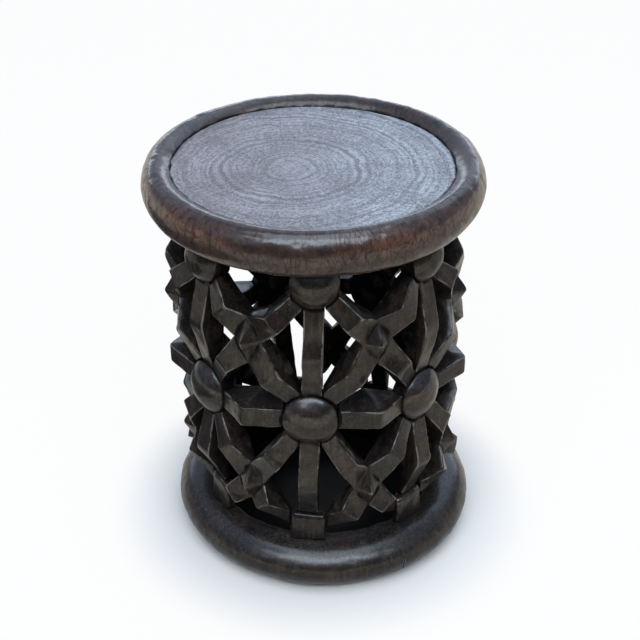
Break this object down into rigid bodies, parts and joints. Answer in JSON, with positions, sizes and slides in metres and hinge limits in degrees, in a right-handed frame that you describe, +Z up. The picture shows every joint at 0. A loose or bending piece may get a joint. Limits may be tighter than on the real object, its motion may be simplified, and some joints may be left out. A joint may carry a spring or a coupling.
{
  "type": "carved lattice stool",
  "caption": "Round carved wooden stool: a dished seat with a rolled rim on an open lattice wall of kneed struts, domed bosses and studs, standing on a fat base ring.",
  "frame": {"origin": "on the floor, under the middle of the stool's bounding box", "axes": "+Z up; -Y towards the viewer of the picture, with one column of bosses facing almost that way; +X to that viewer's right, the side the base lies towards"},
  "size_m": [0.3422, 0.34, 0.425],
  "materials": {
    "dark_wood": "dark stained, worn satin",
    "end_grain_wood": "dark stained end grain, worn satin"
  },
  "bodies": {
    "root": {"seat_panel": "end_grain_wood", "seat_rim": "dark_wood", "base_ring": "dark_wood", "upper_boss_1": "dark_wood", "upper_boss_2": "dark_wood", "upper_boss_3": "dark_wood", "upper_boss_4": "dark_wood", "upper_boss_5": "dark_wood", "upper_boss_6": "dark_wood", "upper_boss_7": "dark_wood", "mid_boss_1": "dark_wood", "mid_boss_2": "dark_wood", "mid_boss_3": "dark_wood", "mid_boss_4": "dark_wood", "mid_boss_5": "dark_wood", "mid_boss_6": "dark_wood", "mid_boss_7": "dark_wood", "foot_1": "dark_wood", "foot_2": "dark_wood", "foot_3": "dark_wood", "foot_4": "dark_wood", "foot_5": "dark_wood", "foot_6": "dark_wood", "foot_7": "dark_wood", "upper_post_1": "dark_wood", "upper_post_2": "dark_wood", "upper_post_3": "dark_wood", "upper_post_4": "dark_wood", "upper_post_5": "dark_wood", "upper_post_6": "dark_wood", "upper_post_7": "dark_wood", "lower_post_1": "dark_wood", "lower_post_2": "dark_wood", "lower_post_3": "dark_wood", "lower_post_4": "dark_wood", "lower_post_5": "dark_wood", "lower_post_6": "dark_wood", "lower_post_7": "dark_wood", "link_1": "dark_wood", "link_2": "dark_wood", "link_3": "dark_wood", "link_4": "dark_wood", "link_5": "dark_wood", "link_6": "dark_wood", "link_7": "dark_wood", "upper_cross_1": "dark_wood", "upper_cross_2": "dark_wood", "upper_cross_3": "dark_wood", "upper_cross_4": "dark_wood", "upper_cross_5": "dark_wood", "upper_cross_6": "dark_wood", "upper_cross_7": "dark_wood", "lower_cross_1": "dark_wood", "lower_cross_2": "dark_wood", "lower_cross_3": "dark_wood", "lower_cross_4": "dark_wood", "lower_cross_5": "dark_wood", "lower_cross_6": "dark_wood", "lower_cross_7": "dark_wood"}
  },
  "joints": []
}
